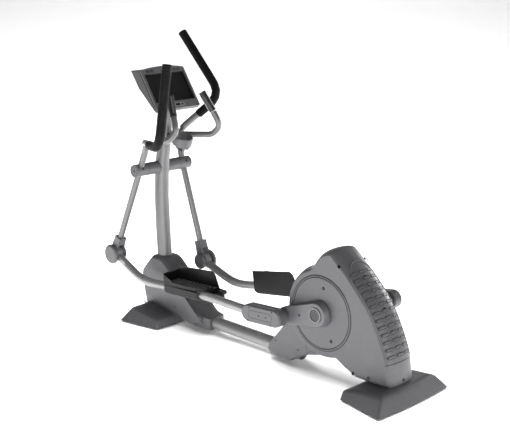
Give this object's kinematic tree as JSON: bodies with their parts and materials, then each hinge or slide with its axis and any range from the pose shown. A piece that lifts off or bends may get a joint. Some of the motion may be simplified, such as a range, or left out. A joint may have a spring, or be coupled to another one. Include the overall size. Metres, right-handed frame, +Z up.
{
  "type": "elliptical trainer",
  "caption": "Rear-drive elliptical trainer: wide feet, moulded drive casing, cranked pedal links, swinging handle arms, pulse grips, cup holder and a console on a column.",
  "frame": {"origin": "centre of the rest box, on the floor", "axes": "+X forward to the console, +Y to the left of the user, +Z up"},
  "size_m": [2.2038, 0.7016, 1.696],
  "materials": {
    "silver_paint": "satin metallic",
    "graphite_shell": "satin",
    "graphite_metal": "satin",
    "black_foam": "matt foam",
    "pedal_black": "matt",
    "screen": "gloss",
    "bare_steel": "machined",
    "belt_rubber": "matt",
    "key_black": "satin",
    "console_shell": "satin"
  },
  "bodies": {
    "root": {"main_rail": "silver_paint", "front_cross_tube": "bare_steel", "front_foot_cover": "graphite_shell", "front_left_foot_pad": "belt_rubber", "front_right_foot_pad": "belt_rubber", "rear_cross_tube": "bare_steel", "rear_foot_cover": "graphite_shell", "rear_left_foot_pad": "belt_rubber", "rear_right_foot_pad": "belt_rubber", "casing_left": "graphite_shell", "disc_cover_left": "graphite_shell", "frame_plate_left": "bare_steel", "crank_bearing_left": "bare_steel", "front_boot_left": "graphite_shell", "pulse_grip_left": "black_foam", "casing_right": "graphite_shell", "disc_cover_right": "graphite_shell", "frame_plate_right": "bare_steel", "crank_bearing_right": "bare_steel", "front_boot_right": "graphite_shell", "pulse_grip_right": "black_foam", "spine_panel": "graphite_shell", "rail_boot": "graphite_shell", "drive_belt": "belt_rubber", "brake_magnet": "bare_steel", "column": "silver_paint", "pivot_shaft": "bare_steel", "pivot_sleeve": "graphite_shell", "pulse_bar": "silver_paint", "cup_holder": "graphite_shell", "console_housing": "console_shell", "console_frame": "console_shell", "console_screen": "screen"},
    "crank": {"crank_axle": "bare_steel", "drive_pulley": "bare_steel", "crank_arm_left": "graphite_metal", "axle_cap_left": "key_black", "crank_arm_right": "graphite_metal", "axle_cap_right": "key_black"},
    "flywheel": {"flywheel": "bare_steel"},
    "key_left": {"key_left": "key_black"},
    "key_right": {"key_right": "key_black"},
    "link_left": {"link_arm_left": "silver_paint", "link_cover_left": "graphite_shell", "pedal_left": "pedal_black"},
    "swing_left": {"swing_arm_left": "silver_paint", "pivot_cover_left": "graphite_shell", "handle_grip_left": "black_foam", "hub_fork_left": "graphite_metal", "hub_cap_outer_left": "graphite_shell", "hub_cap_inner_left": "graphite_shell"},
    "link_right": {"link_arm_right": "silver_paint", "link_cover_right": "graphite_shell", "pedal_right": "pedal_black"},
    "swing_right": {"swing_arm_right": "silver_paint", "pivot_cover_right": "graphite_shell", "handle_grip_right": "black_foam", "hub_fork_right": "graphite_metal", "hub_cap_outer_right": "graphite_shell", "hub_cap_inner_right": "graphite_shell"}
  },
  "joints": [
    {"name": "crank_turn", "type": "hinge", "parent": "root", "child": "crank", "pos_m": [-0.565, 0, 0.363], "axis": [0, 1, 0], "range_deg": [0, 56]},
    {"name": "flywheel_spin", "type": "hinge", "parent": "root", "child": "flywheel", "pos_m": [-0.815, 0, 0.3], "axis": [0, 1, 0], "range_deg": [0, 360]},
    {"name": "link_pin_left", "type": "hinge", "parent": "crank", "child": "link_left", "pos_m": [-0.35153, 0, 0.30978], "axis": [0, 1, 0], "range_deg": [-60.63, 0]},
    {"name": "swing_pivot_left", "type": "hinge", "parent": "root", "child": "swing_left", "pos_m": [0.7906, 0, 0.919], "axis": [0, 1, 0], "range_deg": [0, 14.92]},
    {"name": "link_pin_right", "type": "hinge", "parent": "crank", "child": "link_right", "pos_m": [-0.77847, 0, 0.41622], "axis": [0, 1, 0], "range_deg": [-48.88, 0]},
    {"name": "swing_pivot_right", "type": "hinge", "parent": "root", "child": "swing_right", "pos_m": [0.7906, 0, 0.919], "axis": [0, 1, 0], "range_deg": [-11.63, 0]},
    {"name": "key_press_left", "type": "slide", "parent": "root", "child": "key_left", "axis": [0.8251, 0, -0.565], "range_m": [0, 0.0015], "stiffness_N_per_m": 300},
    {"name": "key_press_right", "type": "slide", "parent": "root", "child": "key_right", "axis": [0.8251, 0, -0.565], "range_m": [0, 0.0015], "stiffness_N_per_m": 300}
  ],
  "couplings": [
    {"joint": "flywheel_spin", "follows": "crank_turn", "ratio": 6.4},
    {"joint": "link_pin_left", "follows": "crank_turn", "ratio": -1.0792},
    {"joint": "swing_pivot_left", "follows": "crank_turn", "ratio": 0.26281},
    {"joint": "link_pin_right", "follows": "crank_turn", "ratio": -0.86924},
    {"joint": "swing_pivot_right", "follows": "crank_turn", "ratio": -0.20408}
  ]
}
